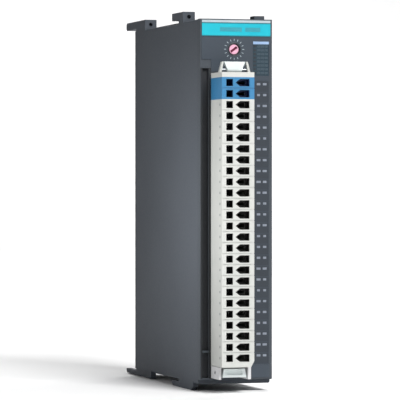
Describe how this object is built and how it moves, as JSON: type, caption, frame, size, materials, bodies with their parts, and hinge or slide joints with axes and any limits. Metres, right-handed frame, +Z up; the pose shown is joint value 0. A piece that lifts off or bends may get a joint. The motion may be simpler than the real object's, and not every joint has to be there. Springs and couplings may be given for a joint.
{
  "type": "controller input output module",
  "caption": "Tall narrow control module: hooked case, labelled front panel with code selector and lights, long plug-in terminal block with ejector levers.",
  "frame": {"origin": "centre of the case's rear face, where the module seats on its backplane", "axes": "+Z up the module's height, +Y rearward into the backplane, +X to the right of someone facing the panel"},
  "size_m": [0.0281, 0.1185, 0.1395],
  "materials": {
    "case_plastic": "fine moulded texture",
    "panel_foil": "satin printed foil",
    "name_print": "printed label",
    "channel_print": "printed strip",
    "smoked_lens": "polished",
    "clear_guide": "clear acrylic",
    "light_chip": "clear",
    "selector_black": "moulded",
    "dial_pink": "moulded",
    "header_grey": "moulded",
    "terminal_white": "moulded",
    "terminal_blue": "moulded",
    "lever_white": "moulded",
    "tinned_pin": "tinned",
    "copper_contact": "rolled",
    "spring_steel": "rolled",
    "board_laminate": "solder mask",
    "chip_resin": "moulded resin",
    "can_aluminium": "drawn can",
    "zinc_screw": "zinc plated",
    "label_lip": "translucent strip"
  },
  "bodies": {
    "case": {"left_shell": "case_plastic", "right_shell": "case_plastic", "front_bezel": "case_plastic", "rear_cover": "case_plastic", "case_screws": "zinc_screw", "front_overlay": "panel_foil", "name_label": "name_print", "channel_label": "channel_print", "indicator_lens": "smoked_lens", "light_guide": "clear_guide", "status_leds": "light_chip", "selector_body": "selector_black", "terminal_header": "header_grey", "header_pins": "tinned_pin", "main_board": "board_laminate", "front_board": "board_laminate", "board_link": "chip_resin", "board_screws": "zinc_screw", "controller_chip": "chip_resin", "isolators": "chip_resin", "dc_converter": "chip_resin", "capacitors": "can_aluminium", "bus_connector": "selector_black", "bus_contacts": "copper_contact", "earth_clip": "copper_contact", "lever_pin": "spring_steel", "label_carrier": "label_lip"},
    "dial": {"selector_dial": "dial_pink"},
    "plug": {"plug_body": "terminal_white", "power_section": "terminal_blue", "plug_end_cap": "terminal_white", "plug_contacts": "copper_contact", "plug_springs": "spring_steel", "pull_pin": "spring_steel"},
    "top_lever": {"upper_lever": "lever_white"},
    "bottom_lever": {"lower_lever": "lever_white"}
  },
  "joints": [
    {"name": "dial_turn", "type": "hinge", "parent": "case", "child": "dial", "pos_m": [-0.00085, -0.09, 0.05545], "axis": [0, 1, 0], "continuous": true},
    {"name": "plug_pull", "type": "slide", "parent": "case", "child": "plug", "axis": [0, -1, 0], "range_m": [0, 0.016]},
    {"name": "top_lever_swing", "type": "hinge", "parent": "plug", "child": "top_lever", "pos_m": [-0.00357, -0.1007, 0.04773], "axis": [1, 0, 0], "range_deg": [0, 80]},
    {"name": "bottom_lever_swing", "type": "hinge", "parent": "case", "child": "bottom_lever", "pos_m": [-0.0038, -0.0965, -0.06175], "axis": [1, 0, 0], "range_deg": [0, 70]}
  ]
}
